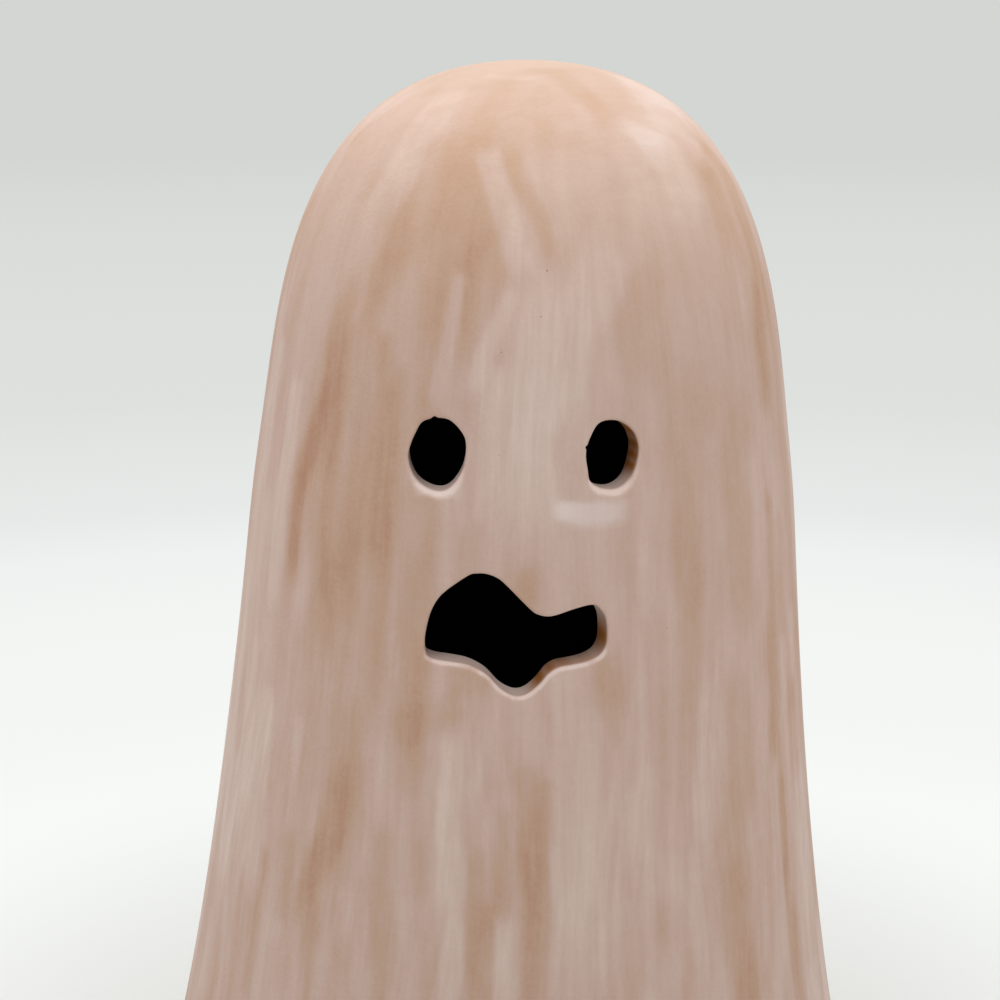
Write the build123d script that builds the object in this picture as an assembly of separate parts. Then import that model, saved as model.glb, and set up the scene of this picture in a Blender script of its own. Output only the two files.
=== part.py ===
from build123d import *
from math import cos, radians, sin, sqrt
import os

# A hollow ceramic ghost, cut through at the eyes and mouth, that stands over a battery tea light.
# Millimetres, +Z up, the face looks along -Y, and the origin is on the table at the middle of the hem.

# Ghost shell: one fired wall, closed at the crown and open at the hem
FIGURE_HEIGHT = 250.0
HEM_RADIUS = 84.0
SHOULDER_RADIUS = 58.3
SHOULDER_DROP = 86.0  # from the crown down to where the head passes into the skirt
SHOULDER_FLARE = 0.182  # radius gained per millimetre of drop
HEM_FLARE = 0.30
CROWN_FULLNESS = 54.0  # the four handle lengths of the two profile curves
TEMPLE_FULLNESS = 30.5
WAIST_FULLNESS = 8.0
HEM_FULLNESS = 63.0
SHELL_WALL = 6.5
LEAN_DEG = 1.35  # the crown leans towards +X, and the hem still stands flat
HEM_ROUNDING = 1.4
LIP_ROUNDING = 1.3  # sponged outer edge of the eyes and mouth

# Face: each opening is cut straight through the front along its own heading, +X being positive
EYE_HEIGHT = 176.9
LEFT_EYE_X = -13.2
LEFT_EYE_WIDTH = 11.0
LEFT_EYE_TALL = 13.4
LEFT_EYE_HEADING_DEG = -6.0
RIGHT_EYE_X = 20.4
RIGHT_EYE_WIDTH = 9.9
RIGHT_EYE_TALL = 12.6
RIGHT_EYE_HEADING_DEG = 18.0
MOUTH_X = 1.2
MOUTH_DROP = 34.4  # from the middle of the eyes down to the middle of the mouth
MOUTH_HEADING_DEG = 15.0
UPPER_LIP = [
    (-15.5, -1.5),
    (-14.7, 3.0),
    (-10.7, 9.2),
    (-5.6, 11.7),
    (-1.1, 9.8),
    (3.2, 5.3),
    (7.1, 3.8),
    (12.0, 4.8),
    (16.2, 5.6),
]
LOWER_LIP = [
    (18.3, 3.2),
    (18.1, -1.6),
    (16.0, -4.8),
    (11.0, -6.0),
    (7.6, -7.4),
    (3.8, -11.0),
    (1.2, -12.1),
    (-1.2, -11.3),
    (-5.2, -7.5),
    (-9.6, -5.7),
    (-14.3, -4.9),
]

# Coin cell and the tea light built around it
CELL_RADIUS = 10.0
CELL_HEIGHT = 3.2
CELL_SHIFT = 4.2  # the cell lies off centre to leave room for the switch
CELL_PLAY = 0.3
CELL_CAP_RADIUS = 8.8
CELL_CAP_STEP = 0.35
WELL_WALL = 1.0
FIT = 0.1  # clearance between nested moulded pieces

# Base plate with its battery door
HEAD_CLEARANCE = 0.15  # the screw's head stays this far above the table
BASE_THICKNESS = 1.8
BASE_RIM = 1.15
ROOF = 1.0
DOOR_THICKNESS = 1.0
DOOR_LAND = 1.4
HINGE_RADIUS = 0.6
HINGE_INSET = 0.8
HINGE_LENGTH = 8.0
EAR_RADIUS = 2.2
EAR_HEADING_DEG = 50.0
SCREW_RADIUS = 0.8
SCREW_REACH = 1.4
SCREW_HEAD_RADIUS = 1.5
SCREW_HEAD_HEIGHT = 0.45
SCREW_SLOT_WIDTH = 0.4
SCREW_SLOT_DEPTH = 0.2
THREAD_RELIEF = 0.35

# Slide switch
KNOB_WIDTH = 2.8
KNOB_LENGTH = 5.0
SWITCH_TRAVEL = 3.0
SWITCH_GAP = 2.1
SLIDER_FLANGE = 0.9
SLIDER_FLANGE_THICKNESS = 0.9
SLIDER_FLOAT = 0.05
GRIP_GROOVES = 3
GRIP_GROOVE_WIDTH = 0.5
GRIP_GROOVE_DEPTH = 0.3

# Cup with a melted-wax top
CUP_HEIGHT = 20.0
CUP_WALL = 1.2
CUP_LEDGE = 0.6
CUP_RIM_ROUNDING = 1.4
CUP_RIM_WIDTH = 1.2
DISH_DEPTH = 1.6
DISH_SLOPE = 3.2
COLLAR_WIDTH = 1.5
COLLAR_HEIGHT = 1.2

# Flame, lamp and metal strips
FLAME_RADIUS = 4.3
FLAME_HEIGHT = 18.0
FLAME_FLANGE_WIDTH = 1.9
FLAME_FLANGE_THICKNESS = 1.2
FLAME_BELLY = 7.0
FLAME_TAPER = 9.0
LAMP_RADIUS = 2.5
LAMP_HEIGHT = 8.6
LAMP_FLANGE_WIDTH = 0.4
LAMP_FLANGE_THICKNESS = 1.0
LEAD_PITCH = 2.54
LEAD_SIDE = 0.5
POST_WALL = 1.6
LEAD_WINDOW = 1.2
LEAD_RUN_RISE = 0.8
STRIP_THICKNESS = 0.3
STRIP_WIDTH = 4.0
STRIP_GAP = 0.05
SPRING_RISE = 0.9
LEAF_LENGTH = 6.0

# Heights of the tea light's stack, from the table up
base_bottom = HEAD_CLEARANCE + SCREW_HEAD_HEIGHT
door_top = base_bottom + DOOR_THICKNESS
base_top = base_bottom + BASE_THICKNESS
cell_bottom = door_top + FIT
cell_top = cell_bottom + CELL_HEIGHT
roof_bottom = cell_top + SPRING_RISE
roof_top = roof_bottom + ROOF
dish_height = CUP_HEIGHT - DISH_DEPTH
cup_ceiling = dish_height - CUP_WALL
collar_top = dish_height + COLLAR_HEIGHT
flame_foot = cup_ceiling - FLAME_FLANGE_THICKNESS
lamp_foot = flame_foot - LAMP_FLANGE_THICKNESS
screw_tip = door_top + SCREW_REACH
boss_top = screw_tip + THREAD_RELIEF + ROOF
slider_bottom = base_top + SLIDER_FLOAT
slider_top = slider_bottom + SLIDER_FLANGE_THICKNESS

# Radii and places shared by the pieces that nest in each other
well_radius = CELL_RADIUS + CELL_PLAY
well_outer = well_radius + WELL_WALL
door_radius = well_radius + DOOR_LAND
base_radius = CELL_SHIFT + door_radius + FIT + BASE_RIM
cup_socket = base_radius + FIT
cup_radius = cup_socket + CUP_WALL
cup_bore = cup_socket - CUP_LEDGE
flame_bore = LAMP_RADIUS + FIT
cell_center = Vector(-CELL_SHIFT, 0, 0)
hinge_x = -CELL_SHIFT - door_radius + HINGE_INSET
hinge_height = base_bottom + DOOR_THICKNESS / 2
swing_room = DOOR_THICKNESS + HINGE_RADIUS
swing_reach = door_radius - HINGE_INSET - swing_room
swing_half = sqrt(door_radius**2 - swing_reach**2)  # half the length of door edge that needs swing room
ear_reach = well_outer + SCREW_RADIUS + THREAD_RELIEF + 2 * FIT
ear_center = cell_center + Vector(
    ear_reach * cos(radians(EAR_HEADING_DEG)), ear_reach * sin(radians(EAR_HEADING_DEG)), 0
)
slot_width = KNOB_WIDTH + 2 * FIT
slot_length = KNOB_LENGTH + SWITCH_TRAVEL + 2 * FIT
slider_width = slot_width + 2 * SLIDER_FLANGE
switch_x = -CELL_SHIFT + well_outer + SWITCH_GAP + slider_width / 2
knob_y = -SWITCH_TRAVEL / 2
post_radius = LAMP_RADIUS + POST_WALL
lead_x = LEAD_PITCH / 2
lead_run_height = roof_top + LEAD_RUN_RISE
contact_x = -CELL_SHIFT + CELL_RADIUS + STRIP_GAP
contact_foot_end = switch_x - slider_width / 2 - 2 * FIT
finger_y = -SWITCH_TRAVEL - LEAD_SIDE / 2 - STRIP_GAP


def block(low_x, high_x, low_y, high_y, low_z, high_z):
    """A box between two corners."""
    middle = ((low_x + high_x) / 2, (low_y + high_y) / 2, (low_z + high_z) / 2)
    return Pos(*middle) * Box(high_x - low_x, high_y - low_y, high_z - low_z)


def tube(radius, low_z, high_z, center=Vector(0, 0, 0)):
    """An upright cylinder between two heights."""
    return Pos(center.X, center.Y, (low_z + high_z) / 2) * Cylinder(radius, high_z - low_z)


def shell_core(inset):
    """The ghost's outer form as a leaning solid, drawn in by inset on every side."""
    shoulder_in = Vector(1, SHOULDER_FLARE).normalized() * inset
    hem_in = Vector(1, HEM_FLARE).normalized() * inset
    shoulder_down = Vector(SHOULDER_FLARE, -1).normalized()
    hem_down = Vector(HEM_FLARE, -1).normalized()
    crown = Vector(0, FIGURE_HEIGHT - inset)
    crown_handle = crown + Vector(CROWN_FULLNESS - inset, 0)
    shoulder = Vector(SHOULDER_RADIUS, FIGURE_HEIGHT - SHOULDER_DROP) - shoulder_in
    hem = Vector(HEM_RADIUS, 0) - hem_in
    below_table = hem + hem_down * SHELL_WALL
    with BuildSketch(Plane.XZ) as section:
        with BuildLine():
            Bezier(crown, crown_handle, shoulder - shoulder_down * TEMPLE_FULLNESS, shoulder)
            Bezier(shoulder, shoulder + shoulder_down * WAIST_FULLNESS, hem - hem_down * HEM_FULLNESS, hem)
            Line(hem, below_table)
            Line(below_table, (0, below_table.Y))
            Line((0, below_table.Y), crown)
        make_face()
    return Rot(0, LEAN_DEG, 0) * revolve(section.sketch, axis=Axis.Z)


def face_plane(form, x, height, heading_deg):
    """A plane that touches the front of form at x and height, facing along the opening's heading."""
    sight_line = Axis((x, -2 * HEM_RADIUS, height), (0, 1, 0))
    touch = min((point for point, normal in form.find_intersection_points(sight_line)), key=lambda p: p.Y)
    heading = radians(heading_deg)
    return Plane(touch, x_dir=(cos(heading), sin(heading), 0), z_dir=(sin(heading), -cos(heading), 0))


def face_cutters(form):
    """One straight cutter for each eye and for the mouth, reaching well past the wall both ways."""
    reach = 3 * SHELL_WALL
    left_eye = face_plane(form, LEFT_EYE_X, EYE_HEIGHT, LEFT_EYE_HEADING_DEG) * Ellipse(
        LEFT_EYE_WIDTH / 2, LEFT_EYE_TALL / 2
    )
    right_eye = face_plane(form, RIGHT_EYE_X, EYE_HEIGHT, RIGHT_EYE_HEADING_DEG) * Ellipse(
        RIGHT_EYE_WIDTH / 2, RIGHT_EYE_TALL / 2
    )
    lips = Spline(*UPPER_LIP, *LOWER_LIP, periodic=True)
    mouth = face_plane(form, MOUTH_X, EYE_HEIGHT - MOUTH_DROP, MOUTH_HEADING_DEG) * make_face(lips)
    return [extrude(outline, amount=reach, both=True) for outline in (left_eye, right_eye, mouth)]


def edge_on_surface(edge, form):
    """True if an edge lies on the outside of form."""
    return min(face.distance_to(edge @ 0.5) for face in form.faces()) < FIT


def ghost_shell():
    """The fired shell with its rounded lips and hem, standing flat with its hem centred on the origin."""
    form = shell_core(0)
    cutters = face_cutters(form)
    carved = form - cutters
    lips = [edge for edge in new_edges(form, *cutters, combined=carved) if edge_on_surface(edge, form)]
    carved = fillet(lips, LIP_ROUNDING)
    floor_block = block(-2 * HEM_RADIUS, 2 * HEM_RADIUS, -2 * HEM_RADIUS, 2 * HEM_RADIUS, -2 * HEM_RADIUS, 0)
    shell = carved - shell_core(SHELL_WALL) - floor_block
    hem_edges = shell.edges().filter_by_position(Axis.Z, -FIT, FIT)
    shell = fillet(hem_edges, HEM_ROUNDING)
    middle = shell.bounding_box().center()
    return Pos(-middle.X, -middle.Y, 0) * shell


def candle_cup():
    """Turned cup, open below, with a dished top and a collar for the flame."""
    dish_radius = cup_radius - CUP_RIM_ROUNDING - CUP_RIM_WIDTH
    collar_bore = FLAME_RADIUS + FIT
    collar_radius = collar_bore + COLLAR_WIDTH
    with BuildSketch(Plane.XZ) as section:
        with BuildLine():
            Line((cup_socket, 0), (cup_radius, 0))
            Line((cup_radius, 0), (cup_radius, CUP_HEIGHT - CUP_RIM_ROUNDING))
            RadiusArc(
                (cup_radius, CUP_HEIGHT - CUP_RIM_ROUNDING),
                (cup_radius - CUP_RIM_ROUNDING, CUP_HEIGHT),
                -CUP_RIM_ROUNDING,
            )
            Line((cup_radius - CUP_RIM_ROUNDING, CUP_HEIGHT), (dish_radius, CUP_HEIGHT))
            Bezier(
                (dish_radius, CUP_HEIGHT),
                (dish_radius - DISH_SLOPE / 2, CUP_HEIGHT),
                (dish_radius - DISH_SLOPE / 2, dish_height),
                (dish_radius - DISH_SLOPE, dish_height),
            )
            Polyline(
                (dish_radius - DISH_SLOPE, dish_height),
                (collar_radius, dish_height),
                (collar_radius, collar_top),
                (collar_bore, collar_top),
                (collar_bore, cup_ceiling),
                (cup_bore, cup_ceiling),
                (cup_bore, base_top),
                (cup_socket, base_top),
                (cup_socket, 0),
            )
        make_face()
    return revolve(section.sketch, axis=Axis.Z)


def door_outline(thickness, low_z, clearance):
    """The door's plate with its screw ear, cut straight at the hinge, grown by clearance."""
    high_z = low_z + thickness
    plate = tube(door_radius + clearance, low_z, high_z, cell_center)
    plate += tube(EAR_RADIUS + clearance, low_z, high_z, ear_center)
    past_hinge = block(-2 * base_radius, hinge_x - clearance, -base_radius, base_radius, low_z, high_z)
    return plate - past_hinge


def hinge_rod(radius, half_length):
    """A round bar along the door's hinge line."""
    return Pos(hinge_x, 0, hinge_height) * Rot(90, 0, 0) * Cylinder(radius, 2 * half_length)


def candle_base():
    """Base plate with the battery well, lamp post, screw boss, door recess and switch slot."""
    base = tube(base_radius, base_bottom, base_top)
    base += tube(well_outer, base_top, roof_top, cell_center)
    base += tube(post_radius, roof_top, lamp_foot)
    base += tube(EAR_RADIUS, base_top, boss_top, ear_center)
    base -= tube(well_radius, base_bottom, roof_bottom, cell_center)
    base -= tube(LAMP_RADIUS, roof_bottom, lamp_foot)
    base -= door_outline(DOOR_THICKNESS, base_bottom, FIT)
    groove = HINGE_RADIUS + FIT
    base -= hinge_rod(groove, swing_half)
    base -= block(hinge_x - groove, hinge_x + swing_room, -swing_half, swing_half, base_bottom, hinge_height)
    base -= tube(SCREW_RADIUS + THREAD_RELIEF, door_top, screw_tip + THREAD_RELIEF, ear_center)
    base -= block(
        switch_x - slot_width / 2,
        switch_x + slot_width / 2,
        -slot_length / 2,
        slot_length / 2,
        base_bottom,
        base_top,
    )
    contact_slot = STRIP_WIDTH / 2 + FIT
    base -= block(contact_x - FIT, switch_x, -contact_slot, contact_slot, base_top, roof_top)
    base -= block(0, post_radius, -LEAD_WINDOW / 2, LEAD_WINDOW / 2, roof_top, lamp_foot)
    return base


def battery_door():
    """Hinged door plate with its knuckle and a plain hole for the screw."""
    door = door_outline(DOOR_THICKNESS, base_bottom, 0) + hinge_rod(HINGE_RADIUS, HINGE_LENGTH / 2)
    return door - tube(SCREW_RADIUS + FIT / 2, base_bottom, door_top, ear_center)


def door_screw():
    """Pan-head screw with a cross slot, captive in the door's ear."""
    head_bottom = base_bottom - SCREW_HEAD_HEIGHT
    screw = tube(SCREW_HEAD_RADIUS, head_bottom, base_bottom, ear_center)
    screw += tube(SCREW_RADIUS, base_bottom, screw_tip, ear_center)
    for turn in (0, 90):
        slot = Box(1.4 * SCREW_HEAD_RADIUS, SCREW_SLOT_WIDTH, 2 * SCREW_SLOT_DEPTH)
        screw -= Pos(ear_center.X, ear_center.Y, head_bottom) * Rot(0, 0, turn) * slot
    return screw


def coin_cell():
    """Coin cell: the wide can with its narrower cap on top."""
    shoulder = cell_top - CELL_CAP_STEP
    cell = tube(CELL_RADIUS, cell_bottom, shoulder, cell_center)
    return cell + tube(CELL_CAP_RADIUS, shoulder, cell_top, cell_center)


def switch_slider():
    """Slider: a grooved knob in the base's slot and a flange that rides on top of the base."""
    knob_half = KNOB_WIDTH / 2
    slider = block(
        switch_x - knob_half,
        switch_x + knob_half,
        knob_y - KNOB_LENGTH / 2,
        knob_y + KNOB_LENGTH / 2,
        base_bottom,
        slider_bottom,
    )
    slider += block(
        switch_x - slider_width / 2,
        switch_x + slider_width / 2,
        knob_y - KNOB_LENGTH / 2,
        knob_y + KNOB_LENGTH / 2,
        slider_bottom,
        slider_top,
    )
    groove_pitch = KNOB_LENGTH / (GRIP_GROOVES + 1)
    for number in range(1, GRIP_GROOVES + 1):
        groove_y = knob_y - KNOB_LENGTH / 2 + number * groove_pitch
        groove = Box(KNOB_WIDTH, GRIP_GROOVE_WIDTH, 2 * GRIP_GROOVE_DEPTH)
        slider -= Pos(switch_x, groove_y, base_bottom) * groove
    return slider


def switch_bridge():
    """Brass bridge on the slider: a wiper down to the contact's foot and a finger up to the lead."""
    top = slider_top + STRIP_THICKNESS
    wiper_x = contact_foot_end - 2 * STRIP_THICKNESS
    wiper_foot = base_top + STRIP_THICKNESS + STRIP_GAP
    half = STRIP_WIDTH / 4
    bridge = block(wiper_x, switch_x + KNOB_WIDTH / 2, knob_y - half, knob_y + half, slider_top, top)
    bridge += block(wiper_x, wiper_x + STRIP_THICKNESS, knob_y - half, knob_y + half, wiper_foot, slider_top)
    lead_half = LEAD_SIDE
    bridge += block(switch_x - lead_half, switch_x + lead_half, finger_y, knob_y, slider_top, top)
    return bridge + block(
        switch_x - lead_half,
        switch_x + lead_half,
        finger_y - STRIP_THICKNESS,
        finger_y,
        slider_top,
        lead_run_height,
    )


def positive_contact():
    """Upright strip against the cell's rim, with a foot on the base that the switch wiper rides on."""
    half = STRIP_WIDTH / 2
    upright = block(contact_x, contact_x + STRIP_THICKNESS, -half, half, base_top, roof_bottom)
    foot = block(contact_x, contact_foot_end, -half, half, base_top, base_top + STRIP_THICKNESS)
    return upright + foot


def negative_contact():
    """Strip under the well's roof with a sprung leaf that reaches down to the cell's cap."""
    half = STRIP_WIDTH / 2
    leaf_root = -post_radius
    leaf_end = leaf_root - LEAF_LENGTH
    leaf_bottom = cell_top + STRIP_GAP
    strip_bottom = roof_bottom - STRIP_THICKNESS
    strip_end = LEAD_SIDE - lead_x
    with BuildSketch(Plane.XZ) as section:
        with BuildLine():
            Polyline(
                (strip_end, roof_bottom),
                (leaf_root, roof_bottom),
                (leaf_end, leaf_bottom + STRIP_THICKNESS),
                (leaf_end, leaf_bottom),
                (leaf_root, strip_bottom),
                (strip_end, strip_bottom),
                close=True,
            )
        make_face()
    return extrude(section.sketch, amount=half, both=True)


def led_lamp():
    """Round-nosed lamp with its flange, standing on the base's post."""
    shoulder = lamp_foot + LAMP_HEIGHT - LAMP_RADIUS
    lamp = tube(LAMP_RADIUS + LAMP_FLANGE_WIDTH, lamp_foot, lamp_foot + LAMP_FLANGE_THICKNESS)
    lamp += tube(LAMP_RADIUS, lamp_foot, shoulder)
    return lamp + Pos(0, 0, shoulder) * Sphere(LAMP_RADIUS)


def led_leads():
    """The lamp's two square leads: one down to the negative strip, one bent across to the switch."""
    half = LEAD_SIDE / 2
    cathode = block(-lead_x - half, -lead_x + half, -half, half, roof_bottom, lamp_foot)
    anode = block(lead_x - half, lead_x + half, -half, half, lead_run_height, lamp_foot)
    run_top = lead_run_height + LEAD_SIDE
    anode += block(lead_x - half, switch_x + half, -half, half, lead_run_height, run_top)
    tail_bottom = slider_top + 2 * STRIP_THICKNESS
    anode += block(switch_x - half, switch_x + half, -half, half, tail_bottom, run_top)
    return Compound(children=[cathode.solid(), anode.solid()])


def flame_diffuser():
    """Hollow flame with a flange that is trapped under the cup's collar."""
    bore_top = lamp_foot + LAMP_HEIGHT + 2 * FIT
    tip = collar_top + FLAME_HEIGHT
    flange_radius = FLAME_RADIUS + FLAME_FLANGE_WIDTH
    with BuildSketch(Plane.XZ) as section:
        with BuildLine():
            Polyline(
                (0, bore_top),
                (flame_bore, bore_top),
                (flame_bore, flame_foot),
                (flange_radius, flame_foot),
                (flange_radius, cup_ceiling),
                (FLAME_RADIUS, cup_ceiling),
                (FLAME_RADIUS, collar_top),
            )
            Bezier(
                (FLAME_RADIUS, collar_top),
                (FLAME_RADIUS, collar_top + FLAME_BELLY),
                (FLAME_RADIUS / 4, tip - FLAME_TAPER),
                (0, tip),
            )
            Line((0, tip), (0, bore_top))
        make_face()
    return revolve(section.sketch, axis=Axis.Z)


PIECES = {
    "ghost_shell": ghost_shell,
    "candle_cup": candle_cup,
    "candle_base": candle_base,
    "flame_diffuser": flame_diffuser,
    "led_lamp": led_lamp,
    "led_leads": led_leads,
    "coin_cell": coin_cell,
    "positive_contact": positive_contact,
    "negative_contact": negative_contact,
    "switch_slider": switch_slider,
    "switch_bridge": switch_bridge,
    "battery_door": battery_door,
    "door_screw": door_screw,
}

os.makedirs("parts", exist_ok=True)
for name, make in PIECES.items():
    export_step(make(), f"parts/{name}.step")
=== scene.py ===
import math

import bmesh
import bpy
import numpy as np
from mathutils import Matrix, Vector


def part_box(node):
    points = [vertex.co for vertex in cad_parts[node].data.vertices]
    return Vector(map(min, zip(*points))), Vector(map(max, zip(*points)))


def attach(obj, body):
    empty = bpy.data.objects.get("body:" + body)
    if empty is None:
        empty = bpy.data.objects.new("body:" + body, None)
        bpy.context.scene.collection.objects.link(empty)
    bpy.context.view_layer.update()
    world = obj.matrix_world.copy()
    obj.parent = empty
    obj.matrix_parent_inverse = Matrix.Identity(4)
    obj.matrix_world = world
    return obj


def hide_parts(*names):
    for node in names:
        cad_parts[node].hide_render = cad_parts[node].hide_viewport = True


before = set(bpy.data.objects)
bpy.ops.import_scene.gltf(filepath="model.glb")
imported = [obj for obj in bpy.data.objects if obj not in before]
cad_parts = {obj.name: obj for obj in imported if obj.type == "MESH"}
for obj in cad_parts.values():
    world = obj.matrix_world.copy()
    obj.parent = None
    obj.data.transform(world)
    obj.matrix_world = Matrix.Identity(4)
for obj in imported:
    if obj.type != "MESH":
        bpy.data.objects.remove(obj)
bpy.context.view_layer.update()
mm = 0.001
scene = bpy.context.scene
scene.view_settings.view_transform = "Standard"
print("frame loaded with", len(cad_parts), "nodes")


# Small helpers

def hexColour(code):  # sRGB hex to linear RGBA
    channels = [int(code[at:at + 2], 16) / 255 for at in (1, 3, 5)]
    linear = [c / 12.92 if c <= 0.04045 else ((c + 0.055) / 1.055) ** 2.4 for c in channels]
    return (*linear, 1.0)


def setInputs(tree, node, inputs):  # sets each value, or links it if it comes from another node
    for key, value in inputs.items():
        if isinstance(value, bpy.types.NodeSocket):
            tree.links.new(value, node.inputs[key])
        else:
            node.inputs[key].default_value = value


def addNode(tree, kind, inputs=None, **settings):  # one node, its settings, then its values or links
    node = tree.nodes.new(kind)
    for name, value in settings.items():
        setattr(node, name, value)
    setInputs(tree, node, inputs or {})
    return node


def maths(tree, operation, *values):
    return addNode(tree, "ShaderNodeMath", dict(enumerate(values)), operation=operation).outputs[0]


def vectorMaths(tree, operation, *values):
    return addNode(tree, "ShaderNodeVectorMath", dict(enumerate(values)), operation=operation).outputs[0]


def mapRange(tree, value, ends, results=(0.0, 1.0), kind="SMOOTHSTEP"):
    inputs = {"Value": value, "From Min": ends[0], "From Max": ends[1],
              "To Min": results[0], "To Max": results[1]}
    return addNode(tree, "ShaderNodeMapRange", inputs, interpolation_type=kind).outputs["Result"]


def noise(tree, place, size, detail, roughness=0.5, output="Fac"):  # size in the unit of place
    inputs = {"Vector": place, "Scale": 1 / size, "Detail": detail, "Roughness": roughness}
    return addNode(tree, "ShaderNodeTexNoise", inputs).outputs[output]


def mixColour(tree, amount, under, over):
    return addNode(tree, "ShaderNodeMix", {0: amount, 6: under, 7: over}, data_type="RGBA").outputs[2]


def bumpNormal(tree, strength, depth, height):  # depth in millimetres
    inputs = {"Strength": strength, "Distance": depth * mm, "Height": height}
    return addNode(tree, "ShaderNodeBump", inputs).outputs["Normal"]


def newMaterial(name, values):  # a material and its principled shader, with the even values set on it
    material = bpy.data.materials.new(name)
    material.use_nodes = True
    tree = material.node_tree
    shader = next(node for node in tree.nodes if node.type == "BSDF_PRINCIPLED")
    setInputs(tree, shader, values)
    return material, tree, shader


def rampColour(tree, place, stops):  # stops as place and hex code
    ramp = addNode(tree, "ShaderNodeValToRGB", {"Fac": place})
    elements = ramp.color_ramp.elements
    while len(elements) < len(stops):
        elements.new(0.5)
    for element, (at, code) in zip(elements, stops):
        element.position = at
        element.color = hexColour(code)
    return ramp.outputs["Color"]


def unit(*parts):
    vector = np.array(parts, float)
    return vector / np.linalg.norm(vector)


def smooth(low, high, value):  # smooth step from 0 at low to 1 at high
    t = np.clip((value - low) / (high - low), 0, 1)
    return t * t * (3 - 2 * t)


def bezier(corners, count):
    a, b, c, d = (np.array(corner, float) for corner in corners)
    t = np.linspace(0, 1, count)[:, None]
    return (1 - t) ** 3 * a + 3 * (1 - t) ** 2 * t * b + 3 * (1 - t) * t ** 2 * c + t ** 3 * d


def roundCorner(start, corner, end, t):  # from start to end, drawn towards the corner
    return (1 - t) ** 2 * start + 2 * (1 - t) * t * corner + t ** 2 * end


def closedCurve(points, count):  # a smooth loop through the points, in steps of even length
    ring = np.array(points, float)
    before, after, beyond = np.roll(ring, 1, 0), np.roll(ring, -1, 0), np.roll(ring, -2, 0)
    dense = []
    for t in np.linspace(0, 1, 24, endpoint=False):
        dense.append(0.5 * (2 * ring + (after - before) * t
                            + (2 * before - 5 * ring + 4 * after - beyond) * t ** 2
                            + (3 * ring - before - 3 * after + beyond) * t ** 3))
    loop = np.stack(dense, 1).reshape(-1, 2)
    loop = np.vstack([loop, loop[:1]])
    length = np.concatenate([[0], np.cumsum(np.linalg.norm(np.diff(loop, axis=0), axis=1))])
    even = np.linspace(0, length[-1], count, endpoint=False)
    return np.stack([np.interp(even, length, loop[:, axis]) for axis in (0, 1)], 1)


def outward(loop):  # unit normals of a counterclockwise loop, evened out past small nicks
    along = sum(np.roll(loop, -step, 0) - np.roll(loop, step, 0) for step in range(1, 7))
    normal = np.stack([along[:, 1], -along[:, 0]], 1)
    return normal / np.linalg.norm(normal, axis=1, keepdims=True)


def meshPiece(name, points, faces, material):  # points in millimetres
    mesh = bpy.data.meshes.new(name)
    mesh.from_pydata((np.asarray(points) * mm).tolist(), [], faces)
    tidy = bmesh.new()
    tidy.from_mesh(mesh)
    bmesh.ops.recalc_face_normals(tidy, faces=tidy.faces)
    tidy.to_mesh(mesh)
    tidy.free()
    mesh.polygons.foreach_set("use_smooth", [True] * len(mesh.polygons))
    mesh.materials.append(material)
    piece = bpy.data.objects.new(name, mesh)
    scene.collection.objects.link(piece)
    return piece


# Camera and light

view = {
    "lens": 72.0,
    "sensor": 36.0,
    "place": (-1.1, -428.72, 254.36),  # mm, a little above the crown
    "pitchDeg": 13.0,
}
camera = bpy.data.objects.new("camera", bpy.data.cameras.new("camera"))
camera.data.lens = view["lens"]
camera.data.sensor_width = view["sensor"]
camera.location = [part * mm for part in view["place"]]
camera.rotation_euler = (math.radians(90 - view["pitchDeg"]), 0, 0)
scene.collection.objects.link(camera)
scene.camera = camera

studio = {
    "backdrop": "#d3d6d3",  # what the camera sees past the floor
    "sky": "#fdfeff",
    "skyFront": 0.18,  # the room behind the camera is dimmer
    "skyBack": 0.9,
    "skyTurn": (-0.8, 0.7),  # where the dimmer half passes into the brighter one, front to back
    "softboxWatts": 11.7,
    "softboxSide": 1.1,  # m
    "softboxPlace": (0.0, -0.25, 1.25),
    "paper": "#f2f4f1",
    "paperFade": (205.0, 395.0),  # mm from the ghost over which the lit paper passes into the seen tones
    "paperTones": [(420, "#f4f6f4"), (580, "#eef1ef"), (670, "#e7eae8"), (1000, "#dee1de"),
                   (4000, "#d3d6d3")],  # mm from the ghost, and the tone seen there
    "shade": (100.0, 275.0, 0.84),  # mm, painted shadow: the paper is darkened close to the ghost
    "floorRadius": 30.0,  # m
    "floorRings": (0.01, 0.05, 0.25, 1.0),
    "floorColumns": 64,
}


def straightRays(tree):  # 1 for what the camera, gloss and glass see, 0 for the light that falls on things
    ray = addNode(tree, "ShaderNodeLightPath").outputs
    gloss = maths(tree, "MAXIMUM", ray["Is Camera Ray"], ray["Is Glossy Ray"])
    return maths(tree, "MAXIMUM", gloss, ray["Is Transmission Ray"])


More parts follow.
